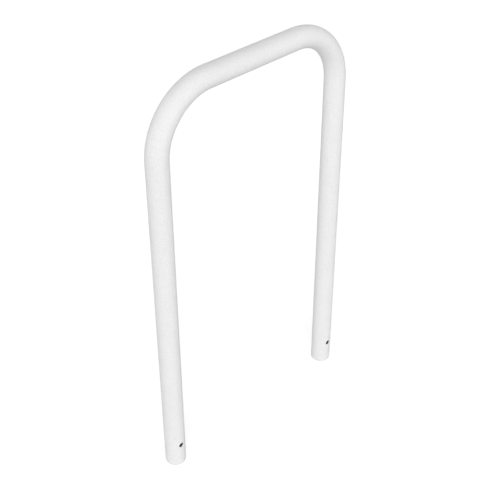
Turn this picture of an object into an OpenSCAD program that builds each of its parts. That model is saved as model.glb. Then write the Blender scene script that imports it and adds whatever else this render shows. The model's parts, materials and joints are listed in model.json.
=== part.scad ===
// Hoop barrier: one tube bent into an upside-down U, with a ribbed plug in each foot.
// The hoop stands in the XZ plane, with the origin midway between the undersides of its feet.

/* [Tube] */
// Outer diameter of the steel tube
tube_od = 60.3; // [48:0.1:76]
// Wall thickness of the steel tube
tube_wall = 2.9; // [2:0.1:4]
// Height of the bent tube, from its cut ends to the top of the rail
tube_h = 1200; // [800:5:1500]
// Width of the hoop, over the outsides of its legs
hoop_w = 700; // [600:5:2000]
// Bend radius of each top corner, to the middle of the tube
bend_r = 167; // [120:1:220]

/* [Anchor holes] */
// Diameter of the cross hole through both walls of each leg
hole_d = 16; // [8:0.5:20]
// Height of the hole's centre above the cut end of its leg
hole_rise = 70; // [50:1:150]

/* [Foot plugs] */
// Thickness of the plug's head, on which the tube's end sits
head_t = 5; // [3:0.5:10]
// Rounding of the head's lower edge
head_round = 1; // [0.5:0.1:2.5]
// Step from the tube's outside in to the head's rim
head_step = 0.15; // [0:0.05:1]
// Height of the plug's cup inside the tube
cup_h = 24; // [18:1:36]
// Wall and floor thickness of the cup
cup_wall = 2; // [1.2:0.1:3]
// Number of ribs round the cup
rib_n = 4; // [2:1:6]
// How far the ribs reach out from the cup
rib_reach = 2.6; // [1.5:0.1:4]
// Thickness of a rib where it leaves the cup
rib_root_t = 1.8; // [1.2:0.1:2.4]
// Thickness of a rib at its crest
rib_crest_t = 0.8; // [0.4:0.1:1.1]
// Gap between a rib's crest and the tube's bore
rib_gap = 0.1; // [0.05:0.05:0.5]

/* [Hidden] */
$fn = 96;

// How far a cutting shape runs past the face that it cuts
cut_past = 1;

tube_r = tube_od / 2;
bore_r = tube_r - tube_wall;
hoop_top = head_t + tube_h;

// Places along the middle of the tube: the leg, the centre of the bend and the rail
leg_x = hoop_w / 2 - tube_r;
rail_z = hoop_top - tube_r;
bend_x = leg_x - bend_r;
bend_z = rail_z - bend_r;
hole_z = head_t + hole_rise;

head_r = tube_r - head_step;
cup_r = bore_r - rib_gap - rib_reach;
cup_top = head_t + cup_h;

// A solid rod of radius r along the middle of the tube, run on below the cut ends by past
module hoop_rod(r, past = 0) {
    for (side = [-1, 1]) {
        translate([side * leg_x, 0, head_t - past])
            cylinder(h = bend_z - head_t + past, r = r);
        translate([side * bend_x, 0, bend_z])
            bend_rod(r, side);
    }
    translate([-bend_x, 0, rail_z])
        rotate([0, 90, 0])
            cylinder(h = 2 * bend_x, r = r);
}

// A quarter turn of the same rod, on the right with side 1 and on the left with side -1
module bend_rod(r, side) {
    rotate([90, 0, 0])
        rotate([0, 0, side > 0 ? 0 : 90])
            rotate_extrude(angle = 90)
                translate([bend_r, 0])
                    circle(r = r);
}

// The drill's path across one leg, through its front and back walls
module anchor_hole(side) {
    translate([side * leg_x, 0, hole_z])
        rotate([90, 0, 0])
            cylinder(h = tube_od + 2 * cut_past, r = hole_d / 2, center = true);
}

// Half of the head's section, with its lower edge rounded
module head_section() {
    square([head_r - head_round, head_t]);
    translate([0, head_round])
        square([head_r, head_t - head_round]);
    translate([head_r - head_round, head_round])
        circle(r = head_round);
}

// Half of one rib's section, from inside the cup's wall out to its crest, at height z
module rib_section(z) {
    root_x = cup_r - cup_wall / 2;
    crest_x = cup_r + rib_reach;
    polygon([
        [root_x, z - rib_root_t / 2],
        [crest_x, z - rib_crest_t / 2],
        [crest_x, z + rib_crest_t / 2],
        [root_x, z + rib_root_t / 2]
    ]);
}

module foot_plug(side) {
    rib_pitch = cup_h / (rib_n + 1);
    translate([side * leg_x, 0, 0])
        rotate_extrude() {
            head_section();
            difference() {
                square([cup_r, cup_top]);
                translate([0, head_t + cup_wall])
                    square([cup_r - cup_wall, cup_h]);
            }
            for (i = [1 : rib_n])
                rib_section(head_t + i * rib_pitch);
        }
}

module hoop_tube() {
    color("white")
        difference() {
            hoop_rod(tube_r);
            hoop_rod(bore_r, cut_past);
            anchor_hole(-1);
            anchor_hole(1);
        }
}

module left_foot_plug() {
    color("gainsboro")
        foot_plug(-1);
}

module right_foot_plug() {
    color("gainsboro")
        foot_plug(1);
}

hoop_tube();
left_foot_plug();
right_foot_plug();
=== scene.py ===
# Hoop barrier: a white powder-coated tube bent into an upside-down U, with a moulded plug in each foot.
import json
import math

import bmesh
import bpy
from mathutils import Matrix, Vector


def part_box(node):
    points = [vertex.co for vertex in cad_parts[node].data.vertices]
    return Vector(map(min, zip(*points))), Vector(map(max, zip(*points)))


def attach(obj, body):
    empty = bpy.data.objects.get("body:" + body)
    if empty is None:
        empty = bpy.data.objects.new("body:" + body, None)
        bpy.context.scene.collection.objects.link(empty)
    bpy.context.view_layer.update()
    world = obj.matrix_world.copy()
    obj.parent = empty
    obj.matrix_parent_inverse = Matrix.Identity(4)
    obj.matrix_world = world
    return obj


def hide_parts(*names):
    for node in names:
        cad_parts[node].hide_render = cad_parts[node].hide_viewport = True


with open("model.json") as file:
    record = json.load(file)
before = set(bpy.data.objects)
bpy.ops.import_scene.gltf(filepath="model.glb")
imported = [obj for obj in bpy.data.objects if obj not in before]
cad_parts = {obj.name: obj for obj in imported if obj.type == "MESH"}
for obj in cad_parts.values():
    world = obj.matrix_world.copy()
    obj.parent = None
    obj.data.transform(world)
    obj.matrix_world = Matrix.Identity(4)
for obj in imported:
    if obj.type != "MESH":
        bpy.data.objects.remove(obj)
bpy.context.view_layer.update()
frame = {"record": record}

MM = 0.001

# Camera, as in the photograph: a pinhole aimed along yaw and pitch, which sees PHOTO_WIDTH pixels across
PHOTO_WIDTH = 490
FOCAL_PX = 984.25
SENSOR_MM = 36.0
CAMERA_PLACE = (-1.5883, -1.5831, 2.1917)
CAMERA_YAW = math.radians(44.572)     # from +Y towards +X
CAMERA_PITCH = math.radians(35.202)   # below the horizon
CAMERA_ROLL = math.radians(0.297)

# Tube, as the frame has it
MOUNTS = {mount["name"]: mount for mount in frame["record"]["mounts"]}
TUBE_LOW, TUBE_TOP = (corner.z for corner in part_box("hoop_tube"))
TUBE_R = MOUNTS["left_leg"]["dims"]["r_mm"] * MM
STRAIGHT = MOUNTS["left_leg"]["dims"]["length_mm"] * MM
LEG_X = MOUNTS["right_leg"]["pos_m"][0]
HOLE_R = MOUNTS["left_anchor_hole"]["dims"]["r_mm"] * MM
HOLE_Z = MOUNTS["left_anchor_hole"]["pos_m"][2]
RAIL_Z = TUBE_TOP - TUBE_R
BEND_Z = TUBE_LOW + STRAIGHT
BEND_R = RAIL_Z - BEND_Z
BEND_X = LEG_X - BEND_R

# Tube, finer than the frame says
TUBE_WALL = 2.9 * MM
BORE_R = TUBE_R - TUBE_WALL
END_ROUND = 0.5 * MM      # the tube's cut ends, under the coat
LIP_ROUND = 0.7 * MM      # where the coat runs over the edge of a cross hole
BURR_ROUND = 0.25 * MM    # a cross hole's edge inside the tube

# Plug
HEAD_STEP = 0.15 * MM     # from the tube's outside in to the head's rim
HEAD_R = TUBE_R - HEAD_STEP
HEAD_ROUND = 1.0 * MM
CUP_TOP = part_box("left_foot_plug")[1].z
CUP_WALL = 2.0 * MM
RIBS = 4
RIB_GAP = 0.1 * MM
RIB_REACH = 2.6 * MM
RIB_CREST_R = BORE_R - RIB_GAP
CUP_R = RIB_CREST_R - RIB_REACH
RIB_ROOT = 1.8 * MM
RIB_CREST = 0.8 * MM
RIB_DROOP = 0.5 * MM      # how far a rib's crest is bent down by the tube
GATE_R = 1.6 * MM         # the mark that moulding leaves in the middle of the head
GATE_DEPTH = 0.3 * MM
SHARP_ANGLE = math.radians(40)   # edges that turn more than this stay sharp

# Mesh density
AROUND = 96               # faces round the tube
PATCH = 16                # faces across the square of surface that each cross hole interrupts
PATCH_RINGS = 7
PATCH_CROWDING = 1.3      # over 1 sets the rings closer together near the hole
ROUND_STEPS = 5           # faces across a rounded edge
WALL_STEPS = 4            # faces along a cross hole's wall
LEG_STEP = 24 * MM        # length of the faces on straight stretches
BEND_STEPS = 48

COLUMN_ANGLE = math.tau / AROUND
ROW_HEIGHT = TUBE_R * COLUMN_ANGLE
FRONT, BACK = math.pi / 2, 3 * math.pi / 2
FRONT_AXIS = Vector((0, -1, 0))

# Material slots of the tube, and of a plug
COAT, STEEL = 0, 1
PLASTIC = 0

# Textures: the sizes of their features, and the heights of those that stand proud.
# Greys and roughnesses are pairs, for the low and the high end of a texture.
NOISE_LOW, NOISE_HIGH = 0.3, 0.7    # where the noise mostly lies
FEW_OCTAVES, MANY_OCTAVES = 1.0, 3.0

COAT_WAVE, COAT_WAVE_HEIGHT = 9 * MM, 0.3 * MM
COAT_PEEL, COAT_PEEL_HEIGHT = 3 * MM, 0.45 * MM
COAT_GRAIN, COAT_GRAIN_HEIGHT = 1 * MM, 0.05 * MM
COAT_MOTTLE = 3.6 * MM
COAT_BLOTCH = 60 * MM
PEBBLE_SOFTNESS = 0.9     # 0 leaves sharp creases between the pebbles, and 1 the softest dips
PEEL_SHADE_SHARE = 0.6          # of the mottling and the peel together; the peel's part is painted shade, darker between the pebbles
BLOTCH_SHARE = 0.15       # of all three
COAT_GREYS = 0.81, 0.90
COAT_ROUGHNESS = 0.65, 0.85
COAT_GLOSS = 0.2          # specular level, where 0.5 is that of plain varnish

STEEL_STREAK, STEEL_STREAK_HEIGHT = 3 * MM, 0.03 * MM
STEEL_STRETCH = 1, 1, 0.1     # ten times as long along the legs
STEEL_STAIN = 25 * MM
STEEL_GREYS = 0.10, 0.17
STEEL_ROUGHNESS = 0.50, 0.70

PLASTIC_GRAIN, PLASTIC_GRAIN_HEIGHT = 0.8 * MM, 0.02 * MM
PLASTIC_FLOW = 18 * MM
PLASTIC_GREYS = 0.80, 0.84
PLASTIC_ROUGHNESS = 0.45, 0.58
PLASTIC_WAX, PLASTIC_WAX_DEPTH = 0.1, 2 * MM

# Distant soft lights: name, azimuth and elevation in degrees, and strength.
# Azimuth 0 is in front of the hoop, and 90 at its right.
LIGHT_SPREAD = math.radians(50)
LIGHTS = (
    ("key_low", -45, 10, 0.75),
    ("key_high", -45, 30, 1.46),
    ("right", 45, 10, 0.77),
    ("left_behind", -135, 10, 0.37),
    ("right_behind", 135, 15, 0.35),
    ("behind", 180, 15, 0.30),
)
DOME_LEVEL = 0.3
WHITE_LEVEL = 1.0         # of the dome where it is seen as the background

# Floor: FLOOR_LIFT brings it up to white where it is seen as the background
FLOOR_HALF_WIDTH = 30
FLOOR_SHADE = 0.65
FLOOR_LIFT = 0.59


def spread(low, high, step):
    """Values from low to high, evenly spaced, at most step apart."""
    count = max(1, math.ceil((high - low) / step))
    return [low + (high - low) * i / count for i in range(count + 1)]


def quarter(steps):
    """Angles of a rounded edge, without its start."""
    return [math.pi / 2 * i / steps for i in range(1, steps + 1)]


def ring(centre, outward, radius):
    """Points round the tube from its outward side, by way of the front."""
    angles = (COLUMN_ANGLE * i for i in range(AROUND))
    return [centre + radius * (math.cos(a) * outward + math.sin(a) * FRONT_AXIS) for a in angles]


def leg_ring(side, radius, z):
    return ring(Vector((side * LEG_X, 0, z)), Vector((side, 0, 0)), radius)


def bend_ring(side, radius, turn):
    """turn is 0 at the leg and a quarter turn at the rail."""
    outward = Vector((side * math.cos(turn), 0, math.sin(turn)))
    return ring(Vector((side * BEND_X, 0, BEND_Z)) + BEND_R * outward, outward, radius)


def rail_ring(radius, x):
    return ring(Vector((x, 0, RAIL_Z)), Vector((0, 0, 1)), radius)


def make_verts(mesh, points):
    return [mesh.verts.new(point) for point in points]


def bridge(mesh, first, second, slot, skip=()):
    """Quads between two closed rings of vertices, apart from the columns in skip."""
    for i in range(len(first)):
        if i in skip:
            continue
        k = (i + 1) % len(first)
        mesh.faces.new((first[i], first[k], second[k], second[i])).material_index = slot


def chain(mesh, rings, slot):
    for first, second in zip(rings, rings[1:]):
        bridge(mesh, first, second, slot)


def make_object(mesh, name, materials):
    """Turns a finished bmesh into a smooth, outward-facing object that rides on the one body."""
    loose = [vertex for vertex in mesh.verts if not vertex.link_faces]
    bmesh.ops.delete(mesh, geom=loose, context="VERTS")
    bmesh.ops.recalc_face_normals(mesh, faces=mesh.faces)
    data = bpy.data.meshes.new(name)
    mesh.to_mesh(data)
    mesh.free()
    for material in materials:
        data.materials.append(material)
    data.shade_smooth()
    made = bpy.data.objects.new(name, data)
    bpy.context.scene.collection.objects.link(made)
    normals = made.modifiers.new("even_normals", "WEIGHTED_NORMAL")
    normals.keep_sharp = True
    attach(made, "root")
    return made


def patch_start(middle):
    """The first column of the open square whose middle is at that angle round the leg."""
    return round(middle / COLUMN_ANGLE) - PATCH // 2


def leg_heights():
    """Heights of a leg's rings, fine round the cross hole, and the number of the square's first ring."""
    half = ROW_HEIGHT * PATCH / 2
    below = spread(TUBE_LOW + END_ROUND, HOLE_Z - half, LEG_STEP)
    square = [HOLE_Z - half + ROW_HEIGHT * i for i in range(PATCH + 1)]
    above = spread(HOLE_Z + half, BEND_Z, LEG_STEP)
    return below[:-1] + square + above[1:], len(below) - 1


def skin(mesh, radius, slot):
    """The tube's surface of that radius, open at the feet and in a square round each cross hole.
    Returns each leg's rings over the squares, and its bottom ring."""
    heights, first = leg_heights()
    columns = {patch_start(middle) + i for middle in (FRONT, BACK) for i in range(PATCH)}
    squares, ends, tops = {}, {}, {}
    for side in (-1, 1):
        rings = [make_verts(mesh, leg_ring(side, radius, z)) for z in heights]
        for i in range(len(rings) - 1):
            bridge(mesh, rings[i], rings[i + 1], slot, columns if first <= i < first + PATCH else ())
        bend = [make_verts(mesh, bend_ring(side, radius, turn)) for turn in quarter(BEND_STEPS)]
        chain(mesh, [rings[-1]] + bend, slot)
        squares[side] = rings[first:first + PATCH + 1]
        ends[side] = rings[0]
        tops[side] = bend[-1]
    rail = [make_verts(mesh, rail_ring(radius, x)) for x in spread(-BEND_X, BEND_X, LEG_STEP)[1:-1]]
    chain(mesh, [tops[-1]] + rail + [tops[1]], slot)
    return squares, ends


def border(rows, middle):
    """The vertices round an open square in order, each with its column and row from the square's middle."""
    start = patch_start(middle)
    path = [(i, 0) for i in range(PATCH)] + [(PATCH, i) for i in range(PATCH)]
    path += [(PATCH - i, PATCH) for i in range(PATCH)] + [(0, PATCH - i) for i in range(PATCH)]
    return [(rows[r][start + c], c - PATCH // 2, r - PATCH // 2) for c, r in path]


def leg_point(side, radius, angle, z):
    return Vector((side * (LEG_X + radius * math.cos(angle)), -radius * math.sin(angle), z))


def hole_point(side, middle, radius, direction, reach, depth=0.0):
    """A point at distance reach from a cross hole's axis and depth under the surface of that radius."""
    across = reach * math.cos(direction)
    angle = middle + math.asin(across / radius)
    point = leg_point(side, radius, angle, HOLE_Z + reach * math.sin(direction))
    point.y -= math.copysign(depth, point.y)
    return point


def patch(mesh, side, middle, radius, rows, reach, slot):
    """Fills an open square up to a circle round the cross hole. Returns the circle and its directions."""
    around = border(rows, middle)
    directions = [math.atan2(r * ROW_HEIGHT, c * COLUMN_ANGLE * radius) for _, c, r in around]
    outer = [vertex for vertex, _, _ in around]
    for k in range(PATCH_RINGS - 1, -1, -1):
        share = (k / PATCH_RINGS) ** PATCH_CROWDING
        points = []
        for direction, (_, c, r) in zip(directions, around):
            near_angle = math.asin(reach * math.cos(direction) / radius)
            angle = near_angle * (1 - share) + c * COLUMN_ANGLE * share
            z = reach * math.sin(direction) * (1 - share) + r * ROW_HEIGHT * share
            points.append(leg_point(side, radius, middle + angle, HOLE_Z + z))
        inner = make_verts(mesh, points)
        bridge(mesh, inner, outer, slot)
        outer = inner
    return outer, directions


def edge_rings(mesh, side, middle, radius, directions, rounding, inward):
    """The rings of a cross hole's rounded edge, from the tube's surface on to the hole's wall."""
    rings = []
    for a in quarter(ROUND_STEPS):
        reach = HOLE_R + rounding * (1 - math.sin(a))
        depth = inward * rounding * (1 - math.cos(a))
        points = [hole_point(side, middle, radius, d, reach, depth) for d in directions]
        rings.append(make_verts(mesh, points))
    return rings


def cross_hole(mesh, side, middle, outer_rows, bore_rows):
    """One hole through one wall. The coat runs over its outer edge and covers its wall."""
    rim, outer_directions = patch(mesh, side, middle, TUBE_R, outer_rows, HOLE_R + LIP_ROUND, COAT)
    burr, inner_directions = patch(mesh, side, middle, BORE_R, bore_rows, HOLE_R + BURR_ROUND, STEEL)
    lip = [rim] + edge_rings(mesh, side, middle, TUBE_R, outer_directions, LIP_ROUND, 1)
    inside = [burr] + edge_rings(mesh, side, middle, BORE_R, inner_directions, BURR_ROUND, -1)
    wall = []
    for i in range(1, WALL_STEPS):
        share = i / WALL_STEPS
        points = []
        for outer, inner in zip(outer_directions, inner_directions):
            direction = outer * (1 - share) + inner * share
            top = hole_point(side, middle, TUBE_R, direction, HOLE_R, LIP_ROUND)
            bottom = hole_point(side, middle, BORE_R, direction, HOLE_R, -BURR_ROUND)
            points.append(top.lerp(bottom, share))
        wall.append(make_verts(mesh, points))
    chain(mesh, lip + wall + [inside[-1]], COAT)
    chain(mesh, inside, STEEL)


def tube_end(mesh, side, outer, bore):
    """The cut end of a leg, its outer and inner edges rounded."""
    turns = quarter(ROUND_STEPS)
    profile = [(TUBE_R - END_ROUND * (1 - math.cos(a)), a) for a in turns]
    profile += [(BORE_R + END_ROUND * (1 - math.cos(a)), a) for a in reversed(turns)]
    rings = [outer]
    for radius, a in profile:
        z = TUBE_LOW + END_ROUND * (1 - math.sin(a))
        rings.append(make_verts(mesh, leg_ring(side, radius, z)))
    chain(mesh, rings + [bore], COAT)


def make_tube(materials):
    mesh = bmesh.new()
    outer_squares, outer_ends = skin(mesh, TUBE_R, COAT)
    bore_squares, bore_ends = skin(mesh, BORE_R, STEEL)
    for side in (-1, 1):
        for middle in (FRONT, BACK):
            cross_hole(mesh, side, middle, outer_squares[side], bore_squares[side])
        tube_end(mesh, side, outer_ends[side], bore_ends[side])
    return make_object(mesh, "coated_hoop", materials)


def plug_profile():
    """Half of a plug's section as (radius, height), from its underside's middle to the cup's floor."""
    points = [(0, GATE_DEPTH), (GATE_R - GATE_DEPTH, GATE_DEPTH), (GATE_R, 0), (HEAD_R / 2, 0)]
    for a in [0.0] + quarter(ROUND_STEPS):
        points.append((HEAD_R - HEAD_ROUND * (1 - math.sin(a)), HEAD_ROUND * (1 - math.cos(a))))
    points += [(HEAD_R, TUBE_LOW), (CUP_R, TUBE_LOW)]
    pitch = (CUP_TOP - TUBE_LOW) / (RIBS + 1)
    for i in range(1, RIBS + 1):
        z = TUBE_LOW + i * pitch
        points += [
            (CUP_R, z - RIB_ROOT / 2),
            (RIB_CREST_R, z - RIB_CREST / 2 - RIB_DROOP),
            (RIB_CREST_R, z + RIB_CREST / 2 - RIB_DROOP),
            (CUP_R, z + RIB_ROOT / 2),
        ]
    points += [(CUP_R, CUP_TOP), (CUP_R - CUP_WALL, CUP_TOP)]
    points += [(CUP_R - CUP_WALL, TUBE_LOW + CUP_WALL), (0, TUBE_LOW + CUP_WALL)]
    return points


def make_plug(side, name, node, material):
    """A plug, turned round its leg's axis."""
    mesh = bmesh.new()
    profile = plug_profile()
    rings = [make_verts(mesh, leg_ring(side, radius, z)) for radius, z in profile[1:-1]]
    chain(mesh, rings, PLASTIC)
    for end, edge in ((profile[0], rings[0]), (profile[-1], rings[-1])):
        middle = mesh.verts.new((side * LEG_X, 0, end[1]))
        for i in range(AROUND):
            mesh.faces.new((middle, edge[i], edge[(i + 1) % AROUND]))
    made = make_object(mesh, name, [material])
    made.data.set_sharp_from_angle(angle=SHARP_ANGLE)
    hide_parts(node)


class Material:
    """A node material that is built up from few calls."""

    def __init__(self, name):
        self.made = bpy.data.materials.new(name)
        self.made.use_nodes = True
        self.tree = self.made.node_tree
        self.shader = self.tree.nodes["Principled BSDF"]
        self.place = self.node("ShaderNodeTexCoord").outputs["Object"]

    def node(self, kind, **settings):
        made = self.tree.nodes.new(kind)
        for key, value in settings.items():
            setattr(made, key, value)
        return made

    def link(self, source, target):
        self.tree.links.new(source, target)

    def feed(self, socket, source):
        """Links a texture to one of the shader's sockets."""
        self.link(source, self.shader.inputs[socket])

    def noise(self, size, detail=2.0, stretch=(1, 1, 1)):
        """Noise with features of that size in metres, from 0 to 1."""
        scaled = self.node("ShaderNodeMapping")
        scaled.inputs["Scale"].default_value = stretch
        self.link(self.place, scaled.inputs["Vector"])
        noise = self.node("ShaderNodeTexNoise")
        self.link(scaled.outputs["Vector"], noise.inputs["Vector"])
        noise.inputs["Scale"].default_value = 1 / size
        noise.inputs["Detail"].default_value = detail
        return noise.outputs["Fac"]

    def pebbles(self, size):
        """Low pebbles of that size in metres, highest in their middles."""
        cells = self.node("ShaderNodeTexVoronoi", feature="SMOOTH_F1")
        self.link(self.place, cells.inputs["Vector"])
        cells.inputs["Scale"].default_value = 1 / size
        cells.inputs["Smoothness"].default_value = PEBBLE_SOFTNESS
        height = self.node("ShaderNodeMath", operation="SUBTRACT")
        height.inputs[0].default_value = 1.0
        self.link(cells.outputs["Distance"], height.inputs[1])
        return height.outputs["Value"]

    def ramp(self, source, low, high):
        """Stretches a texture's usual range over low to high: numbers or grey levels."""
        mapped = self.node("ShaderNodeMapRange")
        mapped.inputs["From Min"].default_value = NOISE_LOW
        mapped.inputs["From Max"].default_value = NOISE_HIGH
        mapped.inputs["To Min"].default_value = low
        mapped.inputs["To Max"].default_value = high
        self.link(source, mapped.inputs["Value"])
        return mapped.outputs["Result"]

    def mix(self, first, second, share=0.5):
        """share is what the second has of the result."""
        mixed = self.node("ShaderNodeMix", data_type="FLOAT")
        mixed.inputs["Factor"].default_value = share
        self.link(first, mixed.inputs["A"])
        self.link(second, mixed.inputs["B"])
        return mixed.outputs["Result"]

    def bump(self, texture, height, below=None):
        """Normals of a texture that stands that high in metres, over those of another if below is given."""
        made = self.node("ShaderNodeBump")
        made.inputs["Distance"].default_value = height
        self.link(texture, made.inputs["Height"])
        if below is not None:
            self.link(below, made.inputs["Normal"])
        return made.outputs["Normal"]


def coat_material():
    """White powder coat: an orange peel with painted shade that darkens it slightly between its pebbles,
    and an uneven gloss.
    """
    coat = Material("white_powder_coat")
    coat.shader.inputs["Specular IOR Level"].default_value = COAT_GLOSS
    wave = coat.noise(COAT_WAVE, FEW_OCTAVES)
    mottle = coat.noise(COAT_MOTTLE)
    peel = coat.pebbles(COAT_PEEL)
    grain = coat.noise(COAT_GRAIN, FEW_OCTAVES)
    blotch = coat.noise(COAT_BLOTCH)
    # The peel's share of the base colour is painted shade: the coat is darker between the pebbles, where
    # the relief would shade itself.
    shade = coat.mix(coat.mix(mottle, peel, PEEL_SHADE_SHARE), blotch, BLOTCH_SHARE)
    coat.feed("Base Color", coat.ramp(shade, *COAT_GREYS))
    coat.feed("Roughness", coat.ramp(coat.mix(grain, wave), *COAT_ROUGHNESS))
    waved = coat.bump(wave, COAT_WAVE_HEIGHT)
    peeled = coat.bump(peel, COAT_PEEL_HEIGHT, waved)
    coat.feed("Normal", coat.bump(grain, COAT_GRAIN_HEIGHT, peeled))
    return coat.made


def steel_material():
    """The tube's bare inside: dark grey steel, streaked along its length."""
    steel = Material("bare_bore_steel")
    steel.shader.inputs["Metallic"].default_value = 1.0
    streak = steel.noise(STEEL_STREAK, stretch=STEEL_STRETCH)
    stain = steel.noise(STEEL_STAIN, MANY_OCTAVES)
    steel.feed("Base Color", steel.ramp(steel.mix(streak, stain), *STEEL_GREYS))
    steel.feed("Roughness", steel.ramp(stain, *STEEL_ROUGHNESS))
    steel.feed("Normal", steel.bump(streak, STEEL_STREAK_HEIGHT))
    return steel.made


def plug_material():
    """White moulded polyethylene: faintly waxy, with a fine eroded grain."""
    plastic = Material("white_polyethylene")
    plastic.shader.inputs["Subsurface Weight"].default_value = PLASTIC_WAX
    plastic.shader.inputs["Subsurface Scale"].default_value = PLASTIC_WAX_DEPTH
    grain = plastic.noise(PLASTIC_GRAIN)
    flow = plastic.noise(PLASTIC_FLOW)
    plastic.feed("Base Color", plastic.ramp(flow, *PLASTIC_GREYS))
    plastic.feed("Roughness", plastic.ramp(grain, *PLASTIC_ROUGHNESS))
    plastic.feed("Normal", plastic.bump(grain, PLASTIC_GRAIN_HEIGHT))
    return plastic.made


def make_camera():
    data = bpy.data.cameras.new("camera")
    data.sensor_width = SENSOR_MM
    data.lens = FOCAL_PX * SENSOR_MM / PHOTO_WIDTH
    made = bpy.data.objects.new("camera", data)
    bpy.context.scene.collection.objects.link(made)
    turn = Matrix.Rotation(-CAMERA_YAW, 4, "Z") @ Matrix.Rotation(math.pi / 2 - CAMERA_PITCH, 4, "X")
    made.matrix_world = Matrix.Translation(CAMERA_PLACE) @ turn @ Matrix.Rotation(-CAMERA_ROLL, 4, "Z")
    bpy.context.scene.camera = made


def make_light(name, azimuth, elevation, strength):
    data = bpy.data.lights.new(name, "SUN")
    data.angle = LIGHT_SPREAD
    data.energy = strength
    made = bpy.data.objects.new(name, data)
    bpy.context.scene.collection.objects.link(made)
    a, e = math.radians(azimuth), math.radians(elevation)
    away = Vector((math.sin(a) * math.cos(e), -math.cos(a) * math.cos(e), math.sin(e)))
    made.rotation_mode = "QUATERNION"
    made.rotation_quaternion = away.to_track_quat("Z", "Y")


def background_rays(tree):
    """1 for the rays that show the background: to the camera, mirrored or let through. 0 for the rest."""
    path = tree.nodes.new("ShaderNodeLightPath")
    total = path.outputs["Is Camera Ray"]
    for name in ("Is Glossy Ray", "Is Transmission Ray"):
        either = tree.nodes.new("ShaderNodeMath")
        either.operation = "MAXIMUM"
        tree.links.new(total, either.inputs[0])
        tree.links.new(path.outputs[name], either.inputs[1])
        total = either.outputs["Value"]
    return total


def pick_shader(tree, share, first, second, output):
    """Gives output the first shader where share is 0 and the second where it is 1."""
    pick = tree.nodes.new("ShaderNodeMixShader")
    tree.links.new(share, pick.inputs["Fac"])
    tree.links.new(first, pick.inputs[1])
    tree.links.new(second, pick.inputs[2])
    tree.links.new(pick.outputs["Shader"], output.inputs["Surface"])


def make_world():
    """An even dome of light, white as a background."""
    world = bpy.data.worlds.new("studio")
    bpy.context.scene.world = world
    world.use_nodes = True
    tree = world.node_tree
    domes = []
    for strength in (DOME_LEVEL, WHITE_LEVEL):
        dome = tree.nodes.new("ShaderNodeBackground")
        dome.inputs["Color"].default_value = (1, 1, 1, 1)
        dome.inputs["Strength"].default_value = strength
        domes.append(dome.outputs["Background"])
    pick_shader(tree, background_rays(tree), *domes, tree.nodes["World Output"])


def floor_material():
    """Pale paint. Seen as the background it is lifted to white, and keeps the shadow."""
    material = bpy.data.materials.new("floor")
    material.use_nodes = True
    tree = material.node_tree
    paint = tree.nodes.new("ShaderNodeBsdfDiffuse")
    paint.inputs["Color"].default_value = (FLOOR_SHADE, FLOOR_SHADE, FLOOR_SHADE, 1)
    glow = tree.nodes.new("ShaderNodeEmission")
    glow.inputs["Strength"].default_value = FLOOR_LIFT
    lifted = tree.nodes.new("ShaderNodeAddShader")
    tree.links.new(paint.outputs["BSDF"], lifted.inputs[0])
    tree.links.new(glow.outputs["Emission"], lifted.inputs[1])
    plain, white = paint.outputs["BSDF"], lifted.outputs["Shader"]
    pick_shader(tree, background_rays(tree), plain, white, tree.nodes["Material Output"])
    return material


def make_floor():
    mesh = bmesh.new()
    bmesh.ops.create_grid(mesh, x_segments=2, y_segments=2, size=FLOOR_HALF_WIDTH)
    data = bpy.data.meshes.new("floor")
    mesh.to_mesh(data)
    mesh.free()
    data.materials.append(floor_material())
    made = bpy.data.objects.new("floor", data)
    bpy.context.scene.collection.objects.link(made)


make_camera()
make_world()
for light in LIGHTS:
    make_light(*light)
make_floor()

tube = make_tube([coat_material(), steel_material()])
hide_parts("hoop_tube")
plastic = plug_material()
make_plug(-1, "left_plug", "left_foot_plug", plastic)
make_plug(1, "right_plug", "right_foot_plug", plastic)

bpy.context.scene.view_settings.view_transform = "Standard"
